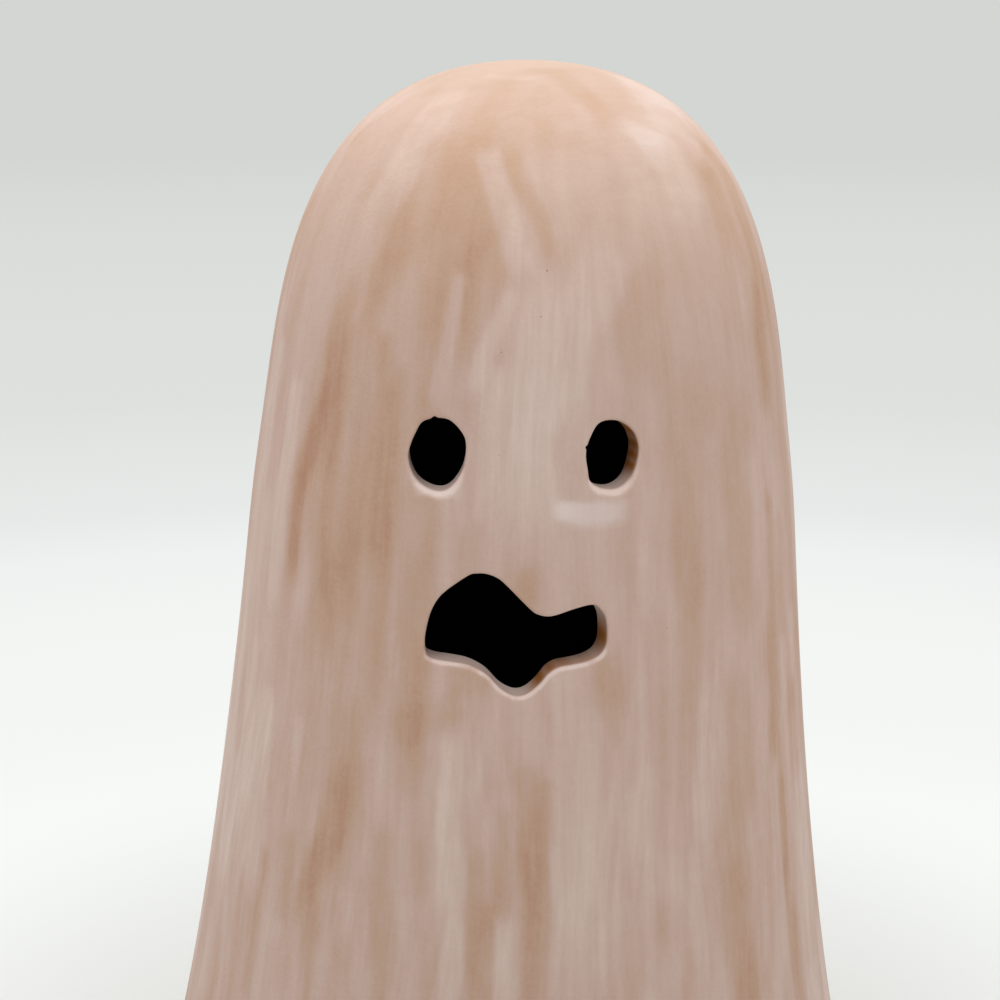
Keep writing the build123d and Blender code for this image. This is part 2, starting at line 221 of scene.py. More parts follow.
def softStudio():
    world = bpy.data.worlds.new("softStudio")
    scene.world = world
    world.use_nodes = True
    tree = world.node_tree
    tree.nodes.clear()
    direction = addNode(tree, "ShaderNodeTexCoord").outputs["Generated"]
    parts = addNode(tree, "ShaderNodeSeparateXYZ", {"Vector": direction})
    level = mapRange(tree, parts.outputs["Y"], studio["skyTurn"], (studio["skyFront"], studio["skyBack"]))
    sky = addNode(tree, "ShaderNodeBackground", {"Color": hexColour(studio["sky"]), "Strength": level})
    seen = addNode(tree, "ShaderNodeBackground", {"Color": hexColour(studio["backdrop"]), "Strength": 1.0})
    mixed = addNode(tree, "ShaderNodeMixShader",
                    {0: straightRays(tree), 1: sky.outputs[0], 2: seen.outputs[0]})
    addNode(tree, "ShaderNodeOutputWorld", {"Surface": mixed.outputs[0]})
    softbox = bpy.data.objects.new("softbox", bpy.data.lights.new("softbox", "AREA"))
    softbox.data.energy = studio["softboxWatts"]
    softbox.data.size = studio["softboxSide"]
    softbox.location = studio["softboxPlace"]
    scene.collection.objects.link(softbox)


def paperFloor():  # matt seamless paper that falls into grey with distance
    material, tree, shader = newMaterial("seamlessPaper", {"Roughness": 0.9, "Specular IOR Level": 0.1})
    place = addNode(tree, "ShaderNodeTexCoord").outputs["Object"]
    reach = addNode(tree, "ShaderNodeVectorMath", {0: place}, operation="LENGTH").outputs["Value"]
    fall = mapRange(tree, reach, [edge * mm for edge in studio["paperFade"]])
    near, far, dim = studio["shade"]
    # painted shadow: the paper's colour darkens towards the ghost
    shade = mapRange(tree, reach, (near * mm, far * mm), (dim, 1.0))
    paper = addNode(tree, "ShaderNodeVectorMath", {0: hexColour(studio["paper"])[:3], "Scale": shade},
                    operation="SCALE").outputs[0]
    setInputs(tree, shader, {"Base Color": paper})
    end = studio["paperTones"][-1][0]
    tones = rampColour(tree, maths(tree, "DIVIDE", reach, end * mm),
                       [(at / end, code) for at, code in studio["paperTones"]])
    seen = addNode(tree, "ShaderNodeEmission", {"Color": tones, "Strength": 1.0})
    faded = maths(tree, "MULTIPLY", fall, straightRays(tree))
    mixed = addNode(tree, "ShaderNodeMixShader", {0: faded, 1: shader.outputs[0], 2: seen.outputs[0]})
    setInputs(tree, tree.nodes["Material Output"], {"Surface": mixed.outputs[0]})
    rings = [studio["floorRadius"] / mm * share for share in studio["floorRings"]]
    columns = studio["floorColumns"]
    turns = np.linspace(0, 2 * math.pi, columns, endpoint=False)
    points = [(0, 0, 0)]
    faces = []
    for number, radius in enumerate(rings):
        points += [(radius * math.cos(t), radius * math.sin(t), 0) for t in turns]
        for k in range(columns):
            outer, following = 1 + number * columns + k, 1 + number * columns + (k + 1) % columns
            faces.append((0, outer, following) if number == 0 else
                         (outer - columns, outer, following, following - columns))
    floor = meshPiece("paperFloor", points, faces, material)


softStudio()
paperFloor()
print("studio ready")


# Ghost shell, all in millimetres

ghost = {
    "hemRadius": 84.0,  # before the hem's edge is rounded
    "shoulderRadius": 58.3,
    "shoulderDrop": 86.0,
    "shoulderFlare": 0.182,  # radius gained per millimetre of drop
    "hemFlare": 0.30,
    "crownFullness": 54.0,
    "templeFullness": 30.5,
    "waistFullness": 8.0,
    "hemFullness": 63.0,
    "wall": 6.5,
    "leanDeg": 1.35,
    "hemRounding": 1.4,
    "lipRounding": 0.7,  # upper edges of the openings
    "innerLipRounding": 0.7,
    "wobble": 0.3,  # unevenness left by the maker's hands
    "columns": 232,
    "outerRows": 236,
    "innerRows": 64,
    "frontCrowding": 0.35,  # more columns towards the face
    "hemSteps": 5,
    "lipSteps": 10,
    "wallSteps": 8,
    "innerLipSteps": 4,
    "outerFill": (4.6, 1.2, 7),  # mm taken out round an opening, mm past its lip, and loops that fill it
    "innerFill": (3.2, 1.7, 3),
    "sight": (-40.0, 25.0),  # mm along a wall's heading in which its skin is looked for
    "sightSteps": 46,
}
shellLow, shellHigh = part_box("ghost_shell")
lean = math.radians(ghost["leanDeg"])
ghostHeight = (shellHigh.z - shellLow.z) / mm / math.cos(lean)
hemRadius = ghost["hemRadius"]

# Openings: outlines as drawn on the front, in mm from the place, with walls cut along a heading.
# The fan turns the wall further towards the +X end, and the sill is the thumbed rounding of the lower edge.
# Nicks are the knife's slips as bearing, depth and spread, stains are bearing, spread and strength.
openings = {
    "leftEye": {
        "place": (-13.4, 176.4), "headingDeg": 0.5, "fanDeg": 0.0, "sill": 1.9, "points": 128,
        "outline": [(5.7, 1.1), (5.2, 4.2), (2.2, 7.0), (-2.0, 6.6), (-3.8, 4.5), (-5.4, 0.0), (-4.6, -3.8),
                    (-2.6, -6.0), (0.5, -6.9), (2.9, -5.8), (5.0, -2.6)],
        "nicks": [(93, 0.4, 4)], "stains": [],
    },
    "rightEye": {
        "place": (20.6, 176.2), "headingDeg": 17.0, "fanDeg": 0.0, "sill": 1.8, "points": 128,
        "outline": [(5.0, 0.2), (4.7, 3.0), (3.3, 5.3), (0.6, 6.9), (-2.6, 6.6), (-4.4, 3.9), (-5.2, 1.0),
                    (-4.9, -1.9), (-4.2, -4.4), (-1.9, -6.0), (1.2, -6.2), (3.7, -4.2)],
        "nicks": [(158, 0.35, 3)],
        "stains": [(-30, 18, 1.0), (-8, 22, 1.0), (16, 26, 1.0), (46, 30, 1.0)],
    },
    "mouth": {
        "place": (1.2, 142.5), "headingDeg": 5.0, "fanDeg": 12.0, "sill": 1.15, "points": 224,
        "outline": [(-16.8, -0.8), (-16.8, -3.4), (-16.3, -4.9), (-14.5, -5.5), (-11.8, -5.7), (-8.3, -6.2),
                    (-5.0, -7.8), (-2.4, -10.4), (-0.5, -11.6), (1.2, -12.0), (3.0, -11.5), (5.2, -9.8),
                    (7.2, -7.6), (9.2, -6.5), (11.8, -6.1), (14.8, -5.6), (17.2, -4.5), (18.3, -2.6),
                    (18.5, 0.0), (18.2, 2.7), (17.1, 4.6), (15.7, 5.5), (12.6, 5.0), (8.5, 3.8), (6.7, 3.6),
                    (5.0, 4.0), (3.5, 5.0), (-1.5, 10.0), (-3.2, 11.2), (-5.0, 11.8), (-6.8, 11.8),
                    (-8.5, 11.3), (-12.7, 8.2), (-14.6, 6.0), (-15.9, 3.2)],
        "nicks": [],
        "stains": [(-4, 11, 1.0), (-60, 13, 1.0), (-44, 13, 0.9), (-33, 11, 0.75), (-22, 9, 0.5)],
    },
}
forward = np.array([0, -1.0, 0])  # out of the face


def meridianCurve(inset):  # radius and height down one side, crown first, running on below the table
    shoulderDown = unit(ghost["shoulderFlare"], -1)
    hemDown = unit(ghost["hemFlare"], -1)
    crown = np.array([0, ghostHeight - inset])
    shoulder = np.array([ghost["shoulderRadius"], ghostHeight - ghost["shoulderDrop"]])
    shoulder = shoulder - inset * unit(1, ghost["shoulderFlare"])
    hem = np.array([hemRadius, 0]) - inset * unit(1, ghost["hemFlare"])
    dome = bezier([crown, crown + [ghost["crownFullness"] - inset, 0],
                   shoulder - shoulderDown * ghost["templeFullness"], shoulder], 400)
    skirt = bezier([shoulder, shoulder + shoulderDown * ghost["waistFullness"],
                    hem - hemDown * ghost["hemFullness"], hem], 400)
    curve = np.vstack([dome, skirt[1:], (hem + hemDown * ghost["wall"])[None]])
    drop = np.concatenate([[0], np.cumsum(np.linalg.norm(np.diff(curve, axis=0), axis=1))])
    even = np.linspace(0, drop[-1], 1200)
    radius, height = (np.interp(even, drop, curve[:, axis]) for axis in (0, 1))
    thumb = np.hanning(129) / np.hanning(129).sum()  # about 28 mm, eases the join at the shoulder
    eased = np.convolve(np.pad(radius, 64, mode="edge"), thumb, "valid")
    radius += (eased - radius) * smooth(36, 14, np.abs(even - drop[399]))
    return {"radius": radius, "height": height, "drop": even}


outerSkin = meridianCurve(0)
innerSkin = meridianCurve(ghost["wall"])


def leanOver(points, angle=lean):  # upright to leaning, the crown going towards +X
    x, y, z = points[..., 0], points[..., 1], points[..., 2]
    cosine, sine = math.cos(angle), math.sin(angle)
    return np.stack([x * cosine + z * sine, y, z * cosine - x * sine], -1)


def standUp(points):  # leaning back to upright
    return leanOver(points, -lean)


def onSkin(skin, turn, drop):  # upright points, turn is 0 at the face and drop runs down from the crown
    radius = np.interp(drop, skin["drop"], skin["radius"])
    height = np.interp(drop, skin["drop"], skin["height"])
    return np.stack([radius * np.sin(turn), -radius * np.cos(turn), height], -1)


def turnAndDrop(skin, points):  # the same two measures of upright points that lie on a skin
    drop = np.interp(-points[:, 2], -skin["height"], skin["drop"])
    return np.arctan2(points[:, 0], -points[:, 1]), drop


def tableDrop(skin, turn):  # drop at which the leaning skin meets the table, for each turn
    ends = []
    for t in turn:
        above = skin["height"] - skin["radius"] * math.sin(t) * math.tan(lean)
        ends.append(np.interp(0, above[::-1], skin["drop"][::-1]))
    return np.array(ends)


def skinDepth(skin, points, facing):  # how far along facing each leaning point is from the skin
    low, high = (np.full(len(points), end) for end in ghost["sight"])
    for _ in range(ghost["sightSteps"]):
        middle = (low + high) / 2
        at = standUp(points + middle[:, None] * facing)
        radius = np.interp(at[:, 2], skin["height"][::-1], skin["radius"][::-1])
        outside = np.hypot(at[:, 0], at[:, 1]) > radius
        low, high = np.where(outside, low, middle), np.where(outside, middle, high)
    return (low + high) / 2


def nearBearing(angle, degrees, spread):  # 1 at a bearing, falling off either way
    away = (angle - degrees + 180) % 360 - 180
    return np.exp(-(away / spread) ** 2)


def openingOutline(opening):  # the cut's outline, counterclockwise, in its own plane
    loop = closedCurve(opening["outline"], opening["points"])
    reach = np.linalg.norm(loop, axis=1)
    angle = np.degrees(np.arctan2(loop[:, 1], loop[:, 0]))
    for degrees, depth, spread in opening["nicks"]:  # small slips of the knife
        loop = loop * (1 + depth / reach * nearBearing(angle, degrees, spread))[:, None]
    return loop


shell = {  # gathers the shell's points, faces and marks as it is built
    "points": [],
    "faces": [],
    "marks": {"inside": [], "cut": [], "deepPaintedLight": [], "lipHighlight": [], "stain": [], "hem": []},
}


def addPoints(points, **marks):  # takes in upright points with their marks, and gives their numbers
    flat = np.asarray(points, float).reshape(-1, 3)
    start = sum(len(block) for block in shell["points"])
    shell["points"].append(flat)
    for name, store in shell["marks"].items():
        store.append(np.broadcast_to(np.asarray(marks.get(name, 0.0), float).reshape(-1), (len(flat),)))
    return np.arange(start, start + len(flat))


def joinLoops(upper, lower):  # quads between two closed loops of the same length
    following = np.roll(np.arange(len(upper)), -1)
    for k, n in enumerate(following):
        shell["faces"].append((int(upper[k]), int(lower[k]), int(lower[n]), int(upper[n])))


def zipLoops(outerLoop, outerAngle, innerLoop, innerAngle):  # triangles between loops of different lengths
    loops = []
    for loop, angle in ((outerLoop, outerAngle), (innerLoop, innerAngle)):
        start = int(np.argmin(angle))
        turned = np.roll(angle, -start)
        ids = np.roll(loop, -start)
        loops.append((np.append(ids, ids[0]), np.append(turned, turned[0] + 2 * math.pi)))
    (far, farAngle), (near, nearAngle) = loops
    i = j = 0
    while i < len(far) - 1 or j < len(near) - 1:
        farNext = farAngle[i + 1] if i < len(far) - 1 else math.inf
        nearNext = nearAngle[j + 1] if j < len(near) - 1 else math.inf
        if farNext <= nearNext:
            shell["faces"].append((int(far[i]), int(far[i + 1]), int(near[j])))
            i += 1
        else:
            shell["faces"].append((int(far[i]), int(near[j + 1]), int(near[j])))
            j += 1


def bendCorner(start, corner, end, steps):  # points round a corner, without its two ends
    return roundCorner(start, corner, end, (np.arange(1, steps) / steps)[:, None, None])


def wallFacing(opening):  # the direction out through the wall, for each point of an outline
    a = openingOutline(opening)[:, 0]
    heading = np.radians(opening["headingDeg"] + opening["fanDeg"] * smooth(0, a.max(), a))
    return np.stack([np.sin(heading), -np.cos(heading), 0 * heading], 1)


def openingRing(opening, skin, amount):  # the outline, grown by amount, where it meets a skin, leaning
    outline = openingOutline(opening)
    flat = outline + outward(outline) * np.reshape(amount, (-1, 1))
    x, height = opening["place"]
    at = np.stack([x + flat[:, 0], np.full(len(flat), -hemRadius / 2), height + flat[:, 1]], 1)
    at = at + skinDepth(outerSkin, at, forward)[:, None] * forward
    if skin is innerSkin:
        facing = wallFacing(opening)
        at = at + skinDepth(innerSkin, at, facing)[:, None] * facing
    return at


def cutWindow(ids, ring, margin):  # takes the cells round an opening out of a skin's grid
    low, high, centre = ring.min(0) - margin, ring.max(0) + margin, ring.mean(0)
    points = leanOver(np.vstack(shell["points"])[ids])
    within = (points > low) & (points < high)
    rows, columns = np.nonzero(within[..., 0] & within[..., 2] & (points[..., 1] < 0))
    columns = np.where(columns > ghost["columns"] / 2, columns - ghost["columns"], columns)
    top, bottom = rows.min() - 1, rows.max() + 1
    left, right = columns.min() - 1, columns.max() + 1
    edge = [(top, c) for c in range(left, right)] + [(r, right) for r in range(top, bottom)]
    edge += [(bottom, c) for c in range(right, left, -1)] + [(r, left) for r in range(bottom, top, -1)]
    cells = {(r, c % ghost["columns"]) for r in range(top, bottom) for c in range(left, right)}
    loop = np.array([ids[r, c % ghost["columns"]] for r, c in edge])
    at = leanOver(np.vstack(shell["points"])[loop]) - centre
    angle = np.arctan2(at[:, 2], at[:, 0])
    steps = (np.diff(angle) + math.pi) % (2 * math.pi) - math.pi
    if steps.sum() < 0:  # the loop runs counterclockwise, seen from the front
        loop, angle = loop[::-1], angle[::-1]
    return cells, {"loop": loop, "angle": angle, "centre": centre}


def fillWindow(skin, ring, window, steps, inside):  # even loops from a ring out to the window's edge
    at = ring - window["centre"]
    bearing = np.arctan2(at[:, 2], at[:, 0])
    near = turnAndDrop(skin, standUp(ring))
    edge = turnAndDrop(skin, np.vstack(shell["points"])[window["loop"]])
    far = [np.interp(bearing, window["angle"], values, period=2 * math.pi) for values in edge]
    loops = []
    for step in range(steps, -1, -1):
        share = step / (steps + 1)
        turn, drop = (n * (1 - share) + f * share for n, f in zip(near, far))
        loops.append(addPoints(onSkin(skin, turn, drop), inside=inside))
    zipLoops(window["loop"], window["angle"], loops[0], bearing)
    for outer, inner in zip(loops, loops[1:]):
        joinLoops(outer, inner)
    return loops[-1]


def cutOpening(opening, outerWindow, innerWindow):  # lip, wall and inner edge of one opening
    outline, facing = openingOutline(opening), wallFacing(opening)
    centre = outline.mean(0)
    angle = np.degrees(np.arctan2(outline[:, 1] - centre[1], outline[:, 0] - centre[0]))
    stain = np.zeros(len(outline))
    for degrees, spread, strength in opening["stains"]:
        stain = np.maximum(stain, strength * nearBearing(angle, degrees, spread))
    low = smooth(0.1, 0.75, -outward(outline)[:, 1])  # 1 along the lower edge
    outerRound = ghost["lipRounding"] * (1 - low) + opening["sill"] * low
    innerRound = ghost["innerLipRounding"]
    outerCorner, innerCorner = openingRing(opening, outerSkin, 0), openingRing(opening, innerSkin, 0)
    lipStart, lipEnd = openingRing(opening, outerSkin, outerRound), outerCorner - facing * outerRound[:, None]
    wallEnd, innerStart = innerCorner + facing * innerRound, openingRing(opening, innerSkin, innerRound)
    loops = [(lipStart, {})]
    # the lower edge's rounding carries the painted highlight
    for number, ring in enumerate(bendCorner(lipStart, outerCorner, lipEnd, ghost["lipSteps"])):
        loops.append((ring, {"cut": smooth(6, 9, number), "lipHighlight": smooth(0, 4, number) * low,
                             "stain": stain * smooth(5, 12, number)}))
    # the share along the wall also sets how much painted light makes the deep wall paler
    for number in range(ghost["wallSteps"] + 1):
        share = number / ghost["wallSteps"]
        loops.append((lipEnd * (1 - share) + wallEnd * share,
                      {"cut": 1.0, "deepPaintedLight": share, "stain": stain * smooth(-0.25, 0.2, share)}))
    for ring in bendCorner(wallEnd, innerCorner, innerStart, ghost["innerLipSteps"]):
        loops.append((ring, {"inside": 1.0}))
    loops.append((innerStart, {"inside": 1.0}))
    past, count = ghost["outerFill"][1:]
    made = [fillWindow(outerSkin, openingRing(opening, outerSkin, outerRound + past), outerWindow, count, 0.0)]
    for ring, marks in loops:
        made.append(addPoints(standUp(ring), **marks))
    past, count = ghost["innerFill"][1:]
    made.append(fillWindow(innerSkin, openingRing(opening, innerSkin, past), innerWindow, count, 1.0))
    for far, near in zip(made, made[1:]):
        joinLoops(far, near)


def buildShell():
    even = np.linspace(0, 2 * math.pi, ghost["columns"], endpoint=False)
    turn = even - ghost["frontCrowding"] * np.sin(even)
    outerEnd, innerEnd = tableDrop(outerSkin, turn), tableDrop(innerSkin, turn)
    bend = ghost["hemRounding"]
    shares = np.arange(1, ghost["outerRows"] + 1)[:, None] / ghost["outerRows"]
    outerRows = onSkin(outerSkin, turn, shares * (outerEnd - bend))
    outerFoot, innerFoot = onSkin(outerSkin, turn, outerEnd), onSkin(innerSkin, turn, innerEnd)
    inwards = (innerFoot - outerFoot) / np.linalg.norm(innerFoot - outerFoot, axis=1, keepdims=True)
    rest1, rest2 = outerFoot + bend * inwards, innerFoot - bend * inwards
    shares = 1 - np.arange(ghost["innerRows"])[:, None] / ghost["innerRows"]
    innerRows = onSkin(innerSkin, turn, shares * (innerEnd - bend))
    hemRows = np.concatenate([bendCorner(outerRows[-1], outerFoot, rest1, ghost["hemSteps"]), rest1[None],
                              (0.5 * rest1 + 0.5 * rest2)[None], rest2[None],
                              bendCorner(rest2, innerFoot, innerRows[0], ghost["hemSteps"])])
    outerIds = np.array([addPoints(row) for row in outerRows])
    hemIds = np.array([addPoints(row, hem=1.0) for row in hemRows])
    innerIds = np.array([addPoints(row, inside=1.0) for row in innerRows])
    outerPole = addPoints([(0, 0, ghostHeight)])[0]
    innerPole = addPoints([(0, 0, ghostHeight - ghost["wall"])], inside=1.0)[0]
    gone = set()
    for name, opening in openings.items():
        outerRing, innerRing = (openingRing(opening, skin, 0) for skin in (outerSkin, innerSkin))
        outerCells, outerWindow = cutWindow(outerIds, outerRing, ghost["outerFill"][0])
        innerCells, innerWindow = cutWindow(innerIds, innerRing, ghost["innerFill"][0])
        gone |= {("outer", *cell) for cell in outerCells} | {("inner", *cell) for cell in innerCells}
        cutOpening(opening, outerWindow, innerWindow)
        print("cut", name)
    columns = ghost["columns"]
    for skin, ids in (("outer", outerIds), ("hem", np.vstack([outerIds[-1:], hemIds, innerIds[:1]])),
                      ("inner", innerIds)):
        for row in range(len(ids) - 1):
            for column in range(columns):
                if (skin, row, column) not in gone:
                    following = (column + 1) % columns
                    shell["faces"].append((int(ids[row, column]), int(ids[row + 1, column]),
                                            int(ids[row + 1, following]), int(ids[row, following])))
    for column in range(columns):
        following = (column + 1) % columns
        shell["faces"].append((int(outerPole), int(outerIds[0, column]), int(outerIds[0, following])))
        shell["faces"].append((int(innerPole), int(innerIds[-1, following]), int(innerIds[-1, column])))


def handWobble(points):  # slow unevenness, fading out at the crown and the hem
    turn = np.arctan2(points[:, 0], -points[:, 1])
    radius, height = np.hypot(points[:, 0], points[:, 1]), points[:, 2]
    swing = (np.sin(2 * turn + 0.021 * height + 0.6) + 0.7 * np.sin(3 * turn - 0.034 * height + 2.1)
             + 0.5 * np.sin(5 * turn + 0.05 * height + 4.0))
    push = ghost["wobble"] * swing / 2.2 * smooth(2, 40, height) * smooth(0, 50, radius)
    scale = 1 + push / np.maximum(radius, 1.0)
    return np.stack([points[:, 0] * scale, points[:, 1] * scale, height], 1)


# Brushwork: strokes as turn and drop where the brush lands, the same where it lifts, width and strength.
# Turn is in degrees from the middle of the face, positive to +X, and drop is in mm down from the crown.
brushwork = {
    "slip": [  # white slip laid on thickly enough to read as pale
        (-36, 27, -39, 48, 8, 0.4), (-39, 48, -41, 63, 9, 0.55), (-41, 63, -46, 80, 8, 0.5),
        (-13, 45, -1, 67, 5, 0.7), (7, 47, 7, 60, 13, 0.3), (17, 64, 10, 76, 11, 0.6),
        (5, 76, 0, 97, 15, 0.62), (1, 93, -1, 118, 13, 0.65), (-15.8, 70, -19.5, 94, 3, 0.7),
        (-4.3, 73, -11.7, 91, 3.5, 0.65), (-8, 87, -8, 116, 3, 0.5), (72, 24, 44, 41, 12, 0.6),
        (61, 17, 74, 25, 6, 0.6), (32, 37.5, 44, 42, 5, 0.6), (41, 38, 39, 58, 10, 0.6),
        (-58, 95, -57, 140, 5, 0.65), (-74, 80, -71, 101, 5, 0.4), (-63, 150, -61, 184, 4, 0.6),
        (-55, 159, -54, 182, 3, 0.5), (-45, 162, -45, 185, 3, 0.4), (-45, 205, -43, 230, 3.5, 0.35),
        (-31, 193, -30, 203, 4, 0.45), (-12, 160, -11, 225, 5, 0.6), (-9, 151, -10, 171, 6, 0.4),
        (9, 144, 11, 201, 9, 0.45), (16, 155, 16, 207, 8, 0.4), (22, 168, 23, 195, 7, 0.35),
        (17, 161, 17, 175, 1.4, 0.6), (64, 148, 61, 204, 4, 0.4), (57, 172, 55, 215, 2.5, 0.4),
        (-2, 195, -2, 225, 4, 0.5), (36, 162, 33, 205, 5, 0.4), (-68, 178, -68, 234, 9, 0.7),
        (68, 180, 66, 232, 8, 0.5), (-3, 90, -4, 112, 8, 0.6), (-57, 160, -55, 200, 8, 0.5),
        (-17, 86, -17, 106, 9, 0.3), (-12, 100, -11.3, 130, 9, 0.35), (-2.5, 150, -1.6, 180, 9, 0.4),
        (-28, 20.5, 2, 21.5, 2.2, 0.5), (78, 92, 78, 138, 7, 0.5),
    ],
    "bare": [  # clay left bare or wiped thin, reading orange to brown
        (-21, 44, -34, 63, 15, 0.44), (-11, 53, -20, 71, 14, 0.48), (-34, 59, -41, 81, 10, 0.46),
        (-8, 63, -13, 74, 9, 0.35), (-6, 45, -1, 56, 4.6, 0.5), (-2, 52, 4, 66, 3.0, 0.7),
        (-44, 75, -45, 94, 6.5, 0.7), (-45, 94, -51, 112, 5.5, 0.85), (-51, 112, -51, 133, 4.5, 0.85),
        (-45, 97, -45, 121, 7, 0.45), (-27, 89, -27, 95, 2.5, 0.4), (-32, 83, -32, 90, 2.5, 0.4),
        (-25, 112, -25, 125, 6, 0.45), (-34, 158, -33, 173, 7, 0.6), (-33, 171, -36, 189, 7, 0.7),
        (-37, 187, -39, 201, 6, 0.65), (-23, 158, -13, 154, 7, 0.45), (-52, 193, -51, 225, 3.5, 0.6),
        (-5, 192, -5, 225, 3.5, 0.5), (-3, 174, -3, 195, 3.5, 0.45), (-14, 193, -14, 225, 4, 0.5),
        (-24, 180, -23, 222, 5, 0.45), (2, 166, 4, 225, 6, 0.65), (5, 167, 6, 180, 1.5, 0.5),
        (25, 171, 25, 200, 2, 0.35), (46, 154, 46, 177, 8, 0.4), (43, 174, 42, 225, 9, 0.5),
        (25, 67, 24, 85, 10, 0.3), (10, 17, 27, 33, 5, 0.55), (-7, 24, 3, 33, 10, 0.15),
        (55, 48, 57, 67, 7, 0.65), (63, 74, 63, 97, 5, 0.6), (59, 117, 57, 170, 4, 0.5),
        (59, 177, 59, 220, 4, 0.45), (-73, 59, -72, 70, 5, 0.4), (1, 126, 1, 133, 4, 0.45),
        (-38, 127, -35, 145, 10, 0.3), (48, 99, 46, 135, 10, 0.3), (-31, 106, -31, 132, 12, 0.3),
        (34, 92, 34, 128, 14, 0.25), (15, 150, 15, 172, 9, 0.25), (-40, 95, -28, 150, 22, 0.3),
        (-35, 130, -31, 168, 14, 0.28), (34, 112, 33, 160, 21, 0.22), (-36, 200, -36, 230, 6, 0.35),
        (28, 196, 28, 230, 7, 0.4), (-4, 16, 34, 16, 4, 0.4), (-52, 29, -24, 25, 3, 0.35),
    ],
    "dab": [  # whiter touches, under the eyes and over the crown
        (5.8, 113.9, 9.4, 113.9, 3.5, 1.0), (9.0, 114.2, 18.6, 114.8, 4.4, 0.68), (54, 22, 70, 25, 7, 0.3),
        (62, 27, 78, 34, 9, 0.3), (46, 28, 66, 30, 6, 0.25), (32, 38.5, 45, 40.5, 5, 0.3),
        (36, 41, 35, 46, 6, 0.2), (70, 30, 88, 60, 10, 0.25), (44, 33, 56, 36, 8, 0.25),
        (-70, 28, -88, 60, 10, 0.25), (-21.5, 111.3, -13.5, 111.1, 2.6, 0.45),
    ],
    "softness": {"slip": 0.65, "bare": 1.0, "dab": 0.55},  # of the strokes' edges
    "seed": 11,
    "loose": 260,  # more strokes, all round the figure
    "loosePale": 0.55,  # share of them that are slip
    "looseStart": (20, 235),  # mm of drop
    "looseLength": (20, 105),
    "looseWidth": (1.8, 9.0),
    "looseSlantDeg": 2.0,
    "looseStrength": (0.25, 0.65),
    "faceTurn": 64,  # degrees either way, where loose strokes are fainter
    "faceShare": 0.5,
    "barrel": 60.0,  # mm, radius of the even barrel that the fine brush marks are drawn on
}


def paintStroke(mask, turn, drop, radius, stroke, soft):  # lays one stroke into a mask, lifting off slowly
    turn1, drop1, turn2, drop2, width, strength = stroke
    middle = np.interp((drop1 + drop2) / 2, outerSkin["drop"], outerSkin["radius"])
    run = np.array([math.radians(turn2 - turn1) * middle, drop2 - drop1])
    length = max(np.linalg.norm(run), 0.1)
    across = np.radians((turn - turn1 + 180) % 360 - 180) * radius
    down = drop - drop1
    along = (across * run[0] + down * run[1]) / length
    sway = 0.1 * np.sin(along / 9 + turn1) + 0.06 * np.sin(along / 3.1 + drop1)  # an unsteady hand
    aside = np.abs((across * run[1] - down * run[0]) / length + sway * width)
    edge = soft * (0.7 + 0.14 * width)
    sides = 1 - smooth(width / 2 - edge, width / 2 + edge, aside)
    start = smooth(-soft * width, 0.3 * width, along)
    lift = smooth(length - soft * width, length + 1.4 * soft * width, along)
    mask += (1 - mask) * strength * sides * start * (1 - lift)


def brushMasks(points):
    turn, drop = turnAndDrop(outerSkin, points)
    turn = np.degrees(turn)
    radius = np.interp(drop, outerSkin["drop"], outerSkin["radius"])
    masks = {name: np.zeros(len(points)) for name in ("slip", "bare", "dab")}
    for name, mask in masks.items():
        for stroke in brushwork[name]:
            paintStroke(mask, turn, drop, radius, stroke, brushwork["softness"][name])
    chance = np.random.default_rng(brushwork["seed"])
    for _ in range(brushwork["loose"]):
        at, start = chance.uniform(-180, 180), chance.uniform(*brushwork["looseStart"])
        length, width = chance.uniform(*brushwork["looseLength"]), chance.uniform(*brushwork["looseWidth"])
        slant = chance.normal(0, brushwork["looseSlantDeg"])
        strength = chance.uniform(*brushwork["looseStrength"])
        kind = "slip" if chance.random() < brushwork["loosePale"] else "bare"
        if abs(at) < brushwork["faceTurn"]:
            strength *= brushwork["faceShare"]  # the face has its own strokes
        stroke = (at, start, at + slant, start + length, width, strength)
        paintStroke(masks[kind], turn, drop, radius, stroke, 1.0)
    barrel, angle = brushwork["barrel"], np.radians(turn)
    meridian = np.stack([barrel * np.sin(angle), -barrel * np.cos(angle), drop], 1)
    return masks, meridian


